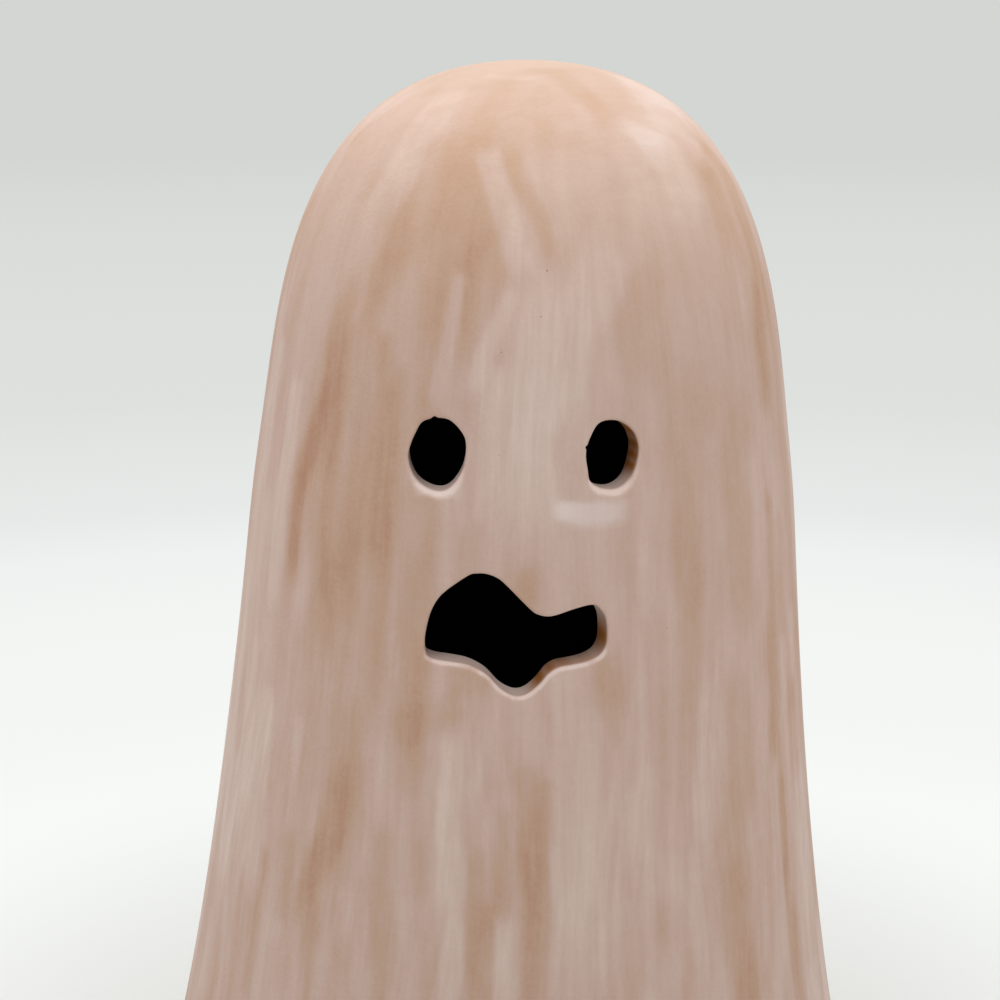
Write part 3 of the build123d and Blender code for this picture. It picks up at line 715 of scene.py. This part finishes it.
# Terracotta, unglazed: a porous matt body, with a thin white slip brushed down it in streaks
terracotta = {
    "cover": [(0.0, "#be8f75"), (0.27, "#cba790"), (0.5, "#d4b5a7"),
              (0.74, "#ddc2b5"), (1.0, "#e7cfc5")],  # from bare clay to thick slip
    "evenCover": 0.48,  # how much slip lies where no stroke was laid
    "strokePull": {"slip": 0.46, "bare": -0.46},  # what a full stroke adds to the cover
    "bristleBreak": (0.35, 0.9),  # a stroke's own tone is broken up by the bristles
    "zones": {"crown": (100.0, 24.0), "tip": (38.0, 15.0), "skirt": (130.0, 240.0)},  # mm of drop
    "tints": {  # colour and strength laid over the slip, one after the other
        "crown": ("#f0cbab", 0.24),  # painted warm light, warmer and paler over the crown where the top light falls
        "tip": ("#c9b09d", 0.42),  # painted shade, darker right on top against the top light
        # greyer slip towards the hem, and darker there as painted shade
        "skirt": ("#b3a59b", 0.12),
        "dab": ("#f0dfd9", 0.75),
        "speck": ("#7d5a48", 0.5),
        "cut": ("#b59b90", 0.8),
        "deepPaintedLight": ("#d6c7be", 0.8),  # painted light, paler deep in the cuts where the wall is in shade
        "hem": ("#cba790", 0.7),
        "stain": ("#965b21", 1.0),  # iron drawn out of the clay round the cuts
        "inside": ("#0d0a09", 1.0),  # painted shade, near black, as the unlit inside reads through the openings
    },
    "layers": {  # width and length of the brush marks in mm, how much each moves the cover, and its edge
        "wash": (20.0, 90.0, 0.5, 0.5),
        "stroke": (5.0, 46.0, 0.16, 0.13),
        "strip": (2.0, 26.0, 0.1, 0.15),
        "bristle": (0.8, 14.0, 0.16, 0.5),
    },
    "crownEnd": (34.0, 74.0),  # mm of drop over which marks across the crown turn into marks down the side
    "crownTurnDeg": -24.0,
    "drift": (38.0, 38.0, 70.0),  # mm, size of the slow wander of the brush marks
    "driftReach": (9.0, 9.0, 0.0),
    "streaks": (110.0, 195.0, 0.55),  # mm of drop, the slip breaks up towards the hem from this share
    "mottle": (3.2, 0.16),  # mm, cloudy patches where the slip dried unevenly, and their weight
    "lipHighlightCloud": (2.0, 0.6),  # painted highlight on the thumbed lower lips, in cloudy patches, and its even gain
    "grit": (0.9, 0.16),  # mm, drawn coarser than real grog so that it shows, and its weight
    "speckEvery": 8.0,  # mm between the darker specks in the clay
    "speckChance": (0.4, 1.0),  # a cell drawn below the first has no speck, and at the last the largest
    "speckSize": 0.03,
    "relief": (0.6, 0.25, 0.35),  # bristles against grit, depth in mm, strength
    "roughness": (0.9, 0.74),
}


def slipBrushedTerracotta():
    material, tree, shader = newMaterial("slipBrushedTerracotta", {"Specular IOR Level": 0.35})
    marks = {}
    for name in ("slip", "bare", "dab", "inside", "cut", "deepPaintedLight", "lipHighlight", "stain", "hem"):
        marks[name] = addNode(tree, "ShaderNodeAttribute", attribute_name=name).outputs["Fac"]
    meridian = addNode(tree, "ShaderNodeAttribute", attribute_name="meridian").outputs["Vector"]
    spot = addNode(tree, "ShaderNodeTexCoord").outputs["Object"]
    inMm = vectorMaths(tree, "MULTIPLY", spot, (1 / mm, 1 / mm, 1 / mm))
    slow = vectorMaths(tree, "MULTIPLY", meridian, [1 / size for size in terracotta["drift"]])
    drift = noise(tree, slow, 1.0, 1.0, output="Color")
    wander = vectorMaths(tree, "MULTIPLY_ADD", drift, terracotta["driftReach"], meridian)
    drop = addNode(tree, "ShaderNodeSeparateXYZ", {"Vector": meridian}).outputs["Z"]
    side = mapRange(tree, drop, terracotta["crownEnd"])
    turned = addNode(tree, "ShaderNodeVectorRotate",
                     {"Vector": inMm, "Angle": math.radians(terracotta["crownTurnDeg"])},
                     rotation_type="Z_AXIS").outputs[0]
    layers = {}
    for number, (name, (width, length, _, edge)) in enumerate(terracotta["layers"].items()):
        sources = []
        for coordinate, size in ((turned, (length / 3, width, width)), (wander, (width, width, length))):
            scaled = vectorMaths(tree, "DIVIDE", coordinate, size)
            moved = vectorMaths(tree, "ADD", scaled, (7.3 * number, 3.1, 1.7 * number))  # each in its own place
            sources.append(noise(tree, moved, 1.0, 3.0, 0.6))
        mixed = addNode(tree, "ShaderNodeMix", {0: side, 2: sources[0], 3: sources[1]}).outputs[0]
        layers[name] = mapRange(tree, mixed, (0.5 - edge, 0.5 + edge), (-0.5, 0.5), "LINEAR")

    cover = terracotta["evenCover"]
    for name, pull in terracotta["strokePull"].items():
        broken = maths(tree, "MULTIPLY_ADD", layers["strip"], *terracotta["bristleBreak"])
        cover = maths(tree, "MULTIPLY_ADD", maths(tree, "MULTIPLY", broken, marks[name]), pull, cover)
    streakStart, streakEnd, streakLeast = terracotta["streaks"]
    streak = mapRange(tree, drop, (streakStart, streakEnd), (streakLeast, 1.0))
    for name, (_, _, weight, _) in terracotta["layers"].items():
        cover = maths(tree, "MULTIPLY_ADD", layers[name], maths(tree, "MULTIPLY", streak, weight), cover)
    (mottle, mottleWeight), (gritSize, gritWeight) = terracotta["mottle"], terracotta["grit"]
    cloud = maths(tree, "SUBTRACT", noise(tree, inMm, mottle, 3.0, 0.6), 0.5)
    cover = maths(tree, "MULTIPLY_ADD", cloud, mottleWeight, cover)
    # painted highlight: the lower lips are made paler in cloudy patches
    wearAndHighlight = maths(tree, "MULTIPLY_ADD", cloud, *terracotta["lipHighlightCloud"])
    cover = maths(tree, "MULTIPLY_ADD", marks["lipHighlight"], wearAndHighlight, cover)
    grit = noise(tree, inMm, gritSize, 3.0, 0.6)
    cover = maths(tree, "MULTIPLY_ADD", maths(tree, "SUBTRACT", grit, 0.5), gritWeight, cover)

    # the crown's mask carries painted warm light, the tip's painted shade, the skirt's partly painted shade
    for name, ends in terracotta["zones"].items():
        marks[name] = mapRange(tree, drop, ends)
    cells = addNode(tree, "ShaderNodeTexVoronoi", {"Vector": inMm, "Scale": 1 / terracotta["speckEvery"]})
    rare = addNode(tree, "ShaderNodeSeparateXYZ", {"Vector": cells.outputs["Color"]}).outputs["X"]
    size = mapRange(tree, rare, terracotta["speckChance"], (0.0, terracotta["speckSize"]), "LINEAR")
    marks["speck"] = maths(tree, "LESS_THAN", cells.outputs["Distance"], size)
    colour = rampColour(tree, cover, terracotta["cover"])
    for name, (shade, strength) in terracotta["tints"].items():
        colour = mixColour(tree, maths(tree, "MULTIPLY", marks[name], strength), colour, hexColour(shade))
    bristle, depth, strength = terracotta["relief"]
    relief = maths(tree, "MULTIPLY_ADD", layers["bristle"], bristle, grit)
    setInputs(tree, shader, {"Base Color": colour, "Normal": bumpNormal(tree, strength, depth, relief),
                             "Roughness": mapRange(tree, cover, (0.0, 1.0), terracotta["roughness"], "LINEAR")})
    return material


def ghostShell():
    buildShell()
    used, numbers = np.unique(np.concatenate(shell["faces"]), return_inverse=True)  # drops what was cut out
    ends = np.cumsum([len(face) for face in shell["faces"]])[:-1]
    faces = [part.tolist() for part in np.split(numbers, ends)]
    upright = np.vstack(shell["points"])[used]
    marks = {name: np.concatenate(store)[used] for name, store in shell["marks"].items()}
    masks, meridian = brushMasks(upright)
    placed = leanOver(handWobble(upright))
    placed[:, 2] = np.maximum(placed[:, 2], 0)
    middle = (placed[:, 0].max() + placed[:, 0].min()) / 2
    placed[:, 0] += (shellLow.x + shellHigh.x) / 2 / mm - middle  # stands where the frame's shell stands
    piece = meshPiece("ghostShell", placed, faces, slipBrushedTerracotta())
    for name, values in {**marks, **masks}.items():
        piece.data.attributes.new(name, "FLOAT", "POINT").data.foreach_set("value", values.astype(np.float32))
    piece.data.attributes.new("meridian", "FLOAT_VECTOR", "POINT").data.foreach_set(
        "vector", meridian.astype(np.float32).ravel())
    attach(piece, "ghost")
    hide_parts("ghost_shell")
    print("ghost shell:", len(upright), "points,", len(faces), "faces")


ghostShell()


# Battery tea light that stands inside the ghost, all in millimetres

def softCorners(corners, rounding, steps):  # a section's corners, each bent round by its own amount
    ring = np.array(corners, float)
    points = []
    for before, corner, after, amount in zip(np.roll(ring, 1, 0), ring, np.roll(ring, -1, 0), rounding):
        if amount == 0:
            points.append(corner)
            continue
        start = corner + unit(*(before - corner)) * amount
        end = corner + unit(*(after - corner)) * amount
        points += list(roundCorner(start, corner, end, np.linspace(0, 1, steps)[:, None]))
    return np.array(points)


def turnedPoints(section, columns):  # a section swept round, as rows of points
    turn = np.linspace(0, 2 * math.pi, columns, endpoint=False)
    radius, height = section[:, :1], section[:, 1:]
    return np.stack([radius * np.cos(turn), radius * np.sin(turn), height + 0 * turn], -1), turn


def rowFaces(rows, columns, closed):  # quads between the rows, and from the last back to the first if closed
    faces = []
    for row in range(rows if closed else rows - 1):
        for column in range(columns):
            following, below = (column + 1) % columns, (row + 1) % rows
            faces.append((row * columns + column, row * columns + following,
                          below * columns + following, below * columns + column))
    return faces


def placeOnLight(points):  # from the tea light's own axis to where the frame has it
    low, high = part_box("candle_cup")
    return points.reshape(-1, 3) + [(low.x + high.x) / 2 / mm, (low.y + high.y) / 2 / mm, low.z / mm]


# Moulded plastic: polished steel moulds leave a satin skin, with a faint cloud where the melt cooled
ivoryPlastic = {"colour": "#eadfc9", "cloud": "#e0d2b6", "cloudSize": 7.0, "roughness": 0.42, "glow": 0.25}
blackPlastic = {"colour": "#1c1c1d", "cloud": "#242425", "cloudSize": 3.0, "roughness": 0.5, "glow": 0.0}
mouldSkin = {"grain": 0.35, "depth": 0.05, "strength": 0.12, "scatter": (1.6, 1.2, 0.8)}  # mm


def mouldedPlastic(name, finish):
    material, tree, shader = newMaterial(name, {
        "Roughness": finish["roughness"], "Subsurface Weight": finish["glow"], "Subsurface Scale": 1.0,
        "Subsurface Radius": [reach * mm for reach in mouldSkin["scatter"]]})
    place = addNode(tree, "ShaderNodeTexCoord").outputs["Object"]
    cloud = noise(tree, place, finish["cloudSize"] * mm, 2.0)
    skin = noise(tree, place, mouldSkin["grain"] * mm, 1.0)
    setInputs(tree, shader, {
        "Base Color": mixColour(tree, cloud, hexColour(finish["colour"]), hexColour(finish["cloud"])),
        "Normal": bumpNormal(tree, mouldSkin["strength"], mouldSkin["depth"], skin)})
    return material


# Metals: rolled strip and drawn wire keep fine lines along their length, and plating evens them out
nickelledCell = {"colour": "#c4c2bb", "wearAndHighlight": "#a9a69d", "lines": (0.25, 6.0, 6.0), "roughness": (0.24, 0.4)}
zincedScrew = {"colour": "#b4b9be", "wearAndHighlight": "#8f9496", "lines": (0.4, 0.4, 0.9), "roughness": (0.3, 0.48)}
stampedBrass = {"colour": "#cfae62", "wearAndHighlight": "#a98543", "lines": (6.0, 0.3, 6.0), "roughness": (0.26, 0.42)}
tinnedWire = {"colour": "#bdbdb8", "wearAndHighlight": "#95958f", "lines": (0.3, 0.3, 5.0), "roughness": (0.34, 0.5)}
rolledLines = {"depth": 0.03, "strength": 0.1}  # mm


def workedMetal(name, finish):
    material, tree, shader = newMaterial(name, {"Metallic": 1.0})
    place = addNode(tree, "ShaderNodeTexCoord").outputs["Object"]
    stretch = vectorMaths(tree, "DIVIDE", place, [size * mm for size in finish["lines"]])
    lines = noise(tree, stretch, 1.0, 3.0)
    setInputs(tree, shader, {
        "Base Color": mixColour(tree, lines, hexColour(finish["colour"]), hexColour(finish["wearAndHighlight"])),
        "Roughness": mapRange(tree, lines, (0.0, 1.0), finish["roughness"], "LINEAR"),
        "Normal": bumpNormal(tree, rolledLines["strength"], rolledLines["depth"], lines)})
    return material


# Cast resins: poured in polished moulds, the flame cloudy with a warm foot, the lamp clear
flameSilicone = {"foot": "#e8b868", "tip": "#f6e6c4", "roughness": 0.46, "clear": 0.15, "glow": 0.6}
lampEpoxy = {"foot": "#e9b04c", "tip": "#f3cd83", "roughness": 0.12, "clear": 0.7, "glow": 0.0}
resinHaze = {"size": 4.0, "weight": 0.3, "scatter": (2.4, 1.6, 0.9)}  # mm


def castResin(name, finish, low, high):
    material, tree, shader = newMaterial(name, {
        "Roughness": finish["roughness"], "Transmission Weight": finish["clear"], "IOR": 1.42,
        "Subsurface Weight": finish["glow"], "Subsurface Scale": 1.0,
        "Subsurface Radius": [reach * mm for reach in resinHaze["scatter"]]})
    place = addNode(tree, "ShaderNodeTexCoord").outputs["Object"]
    height = addNode(tree, "ShaderNodeSeparateXYZ", {"Vector": place}).outputs["Z"]
    haze = noise(tree, place, resinHaze["size"] * mm, 2.0)
    rise = maths(tree, "MULTIPLY_ADD", haze, resinHaze["weight"],
                 mapRange(tree, height, (low, high), kind="LINEAR"))
    setInputs(tree, shader, {
        "Base Color": rampColour(tree, rise, [(0.25, finish["foot"]), (0.95, finish["tip"])])})
    return material


candleCup = {
    "radius": 18.45,
    "height": 20.0,
    "socket": 17.25,  # where the base plate sits
    "socketTop": 2.4,
    "bore": 16.65,
    "ceiling": 17.2,
    "rim": 15.85,
    "pool": 12.4,
    "poolHeight": 18.4,
    "collar": (4.4, 5.9, 19.6),  # bore, radius and top of the flame's collar
    "melt": 1.1,  # how far the melted rim dips
    "runs": 0.3,  # depth of the shallow runs down the side
    "rounding": [0.2, 0.35, 1.25, 1.1, 1.4, 0.5, 0.45, 0.3, 0.15, 0.4, 0.15, 0.15],  # corner by corner
    "columns": 168,
}


def meltedCandleCup(material):
    cup = candleCup
    collarBore, collarRadius, collarTop = cup["collar"]
    corners = [(cup["socket"], 0), (cup["radius"], 0), (cup["radius"], cup["height"]),
               (cup["rim"], cup["height"]), (cup["pool"], cup["poolHeight"]), (collarRadius, cup["poolHeight"]),
               (collarRadius, collarTop), (collarBore, collarTop), (collarBore, cup["ceiling"]),
               (cup["bore"], cup["ceiling"]), (cup["bore"], cup["socketTop"]),
               (cup["socket"], cup["socketTop"])]
    section = softCorners(corners, cup["rounding"], 9)
    points, turn = turnedPoints(section, cup["columns"])
    waves = 0.5 * np.sin(3 * turn + 0.7) + 0.3 * np.sin(5 * turn + 2.0) + 0.2 * np.sin(8 * turn + 4.4)
    dip = cup["melt"] * smooth(-0.3, 0.9, waves)
    radius = np.hypot(points[..., 0], points[..., 1])
    onRim = smooth(cup["poolHeight"] + 0.2, cup["height"], points[..., 2]) * smooth(9.0, 13.5, radius)
    runs = smooth(0.1, 0.8, np.sin(3 * turn - 0.8)) * smooth(7, 17, points[..., 2])
    runs = runs * smooth(17.6, 18.4, radius)  # on the outside alone
    points[..., 2] -= onRim * dip
    points[..., :2] *= (1 - cup["runs"] * runs / np.maximum(radius, 1))[..., None]
    faces = rowFaces(len(section), cup["columns"], True)
    piece = meshPiece("candleCup", placeOnLight(points), faces, material)
    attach(piece, "tealight")
    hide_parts("candle_cup")


flame = {
    "bore": (2.6, 23.8),  # radius and top of the hollow over the lamp
    "foot": 16.0,
    "flange": (6.2, 17.2),
    "radius": 4.3,
    "start": 19.6,  # where it comes out of the collar
    "tip": 37.6,
    "belly": 7.0,
    "taper": 9.0,
    "lobes": 0.07,
    "twistDeg": 70.0,
    "sway": 0.9,
    "columns": 72,
}


def flameDiffuser(material):
    (boreRadius, boreTop), (flangeRadius, flangeTop) = flame["bore"], flame["flange"]
    foot = [(boreRadius, boreTop), (boreRadius, flame["foot"]), (flangeRadius, flame["foot"]),
            (flangeRadius, flangeTop), (flame["radius"], flangeTop), (flame["radius"], flame["start"])]
    foot = softCorners(foot, [0, 0.3, 0.3, 0.3, 0.2, 0], 5)
    drop = bezier([(flame["radius"], flame["start"]), (flame["radius"], flame["start"] + flame["belly"]),
                   (flame["radius"] / 4, flame["tip"] - flame["taper"]), (0, flame["tip"])], 60)
    section = np.vstack([foot, drop[1:-1]])
    points, turn = turnedPoints(section, flame["columns"])
    climb = smooth(flame["start"] + 0.5, flame["tip"], points[..., 2])
    lobe = np.cos(2 * turn - math.radians(flame["twistDeg"]) * climb)
    points[..., :2] *= (1 + flame["lobes"] * lobe * smooth(0, 0.25, climb))[..., None]
    points[..., 0] += flame["sway"] * climb ** 2
    poles = [(flame["sway"], 0, flame["tip"]), (0, 0, boreTop)]
    points = placeOnLight(np.vstack([points.reshape(-1, 3), poles]))
    columns, last = flame["columns"], (len(section) - 1) * flame["columns"]
    faces = rowFaces(len(section), columns, False)
    for column in range(columns):
        following = (column + 1) % columns
        faces.append((last + column, last + following, len(points) - 2))
        faces.append((following, column, len(points) - 1))
    piece = meshPiece("flameDiffuser", points, faces, material)
    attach(piece, "tealight")
    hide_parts("flame_diffuser")


brokenEdges = {"weld": 0.002, "segments": 2, "sharperThanDeg": 40}  # weld in mm


def finishNode(node, material, edge):  # a frame node in its finish, with its edges broken by edge mm
    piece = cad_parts[node]
    for slot in piece.material_slots:
        slot.material = material
    weld = piece.modifiers.new("weld", "WELD")
    weld.merge_threshold = brokenEdges["weld"] * mm
    bevel = piece.modifiers.new("brokenEdge", "BEVEL")
    bevel.width = edge * mm
    bevel.segments = brokenEdges["segments"]
    bevel.limit_method = "ANGLE"
    bevel.angle_limit = math.radians(brokenEdges["sharperThanDeg"])


def teaLight():
    ivory = mouldedPlastic("mouldedIvoryPlastic", ivoryPlastic)
    black = mouldedPlastic("mouldedBlackPlastic", blackPlastic)
    nickel = workedMetal("nickelPlatedSteel", nickelledCell)
    zinc = workedMetal("zincPlatedSteel", zincedScrew)
    brass = workedMetal("stampedBrassStrip", stampedBrass)
    tin = workedMetal("tinnedCopperWire", tinnedWire)
    flameLow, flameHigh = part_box("flame_diffuser")
    lampLow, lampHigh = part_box("led_lamp")
    meltedCandleCup(ivory)
    flameDiffuser(castResin("cloudyFlameSilicone", flameSilicone, flameLow.z, flameHigh.z))
    finishNode("led_lamp", castResin("clearLampEpoxy", lampEpoxy, lampLow.z, lampHigh.z), 0.1)
    for node, material, edge in (("candle_base", ivory, 0.15), ("battery_door", ivory, 0.12),
                                 ("switch_slider", black, 0.12), ("led_leads", tin, 0.06),
                                 ("coin_cell", nickel, 0.2), ("positive_contact", brass, 0.05),
                                 ("negative_contact", brass, 0.05),
                                 ("switch_bridge", brass, 0.05), ("door_screw", zinc, 0.06)):
        finishNode(node, material, edge)
    print("tea light dressed")


teaLight()
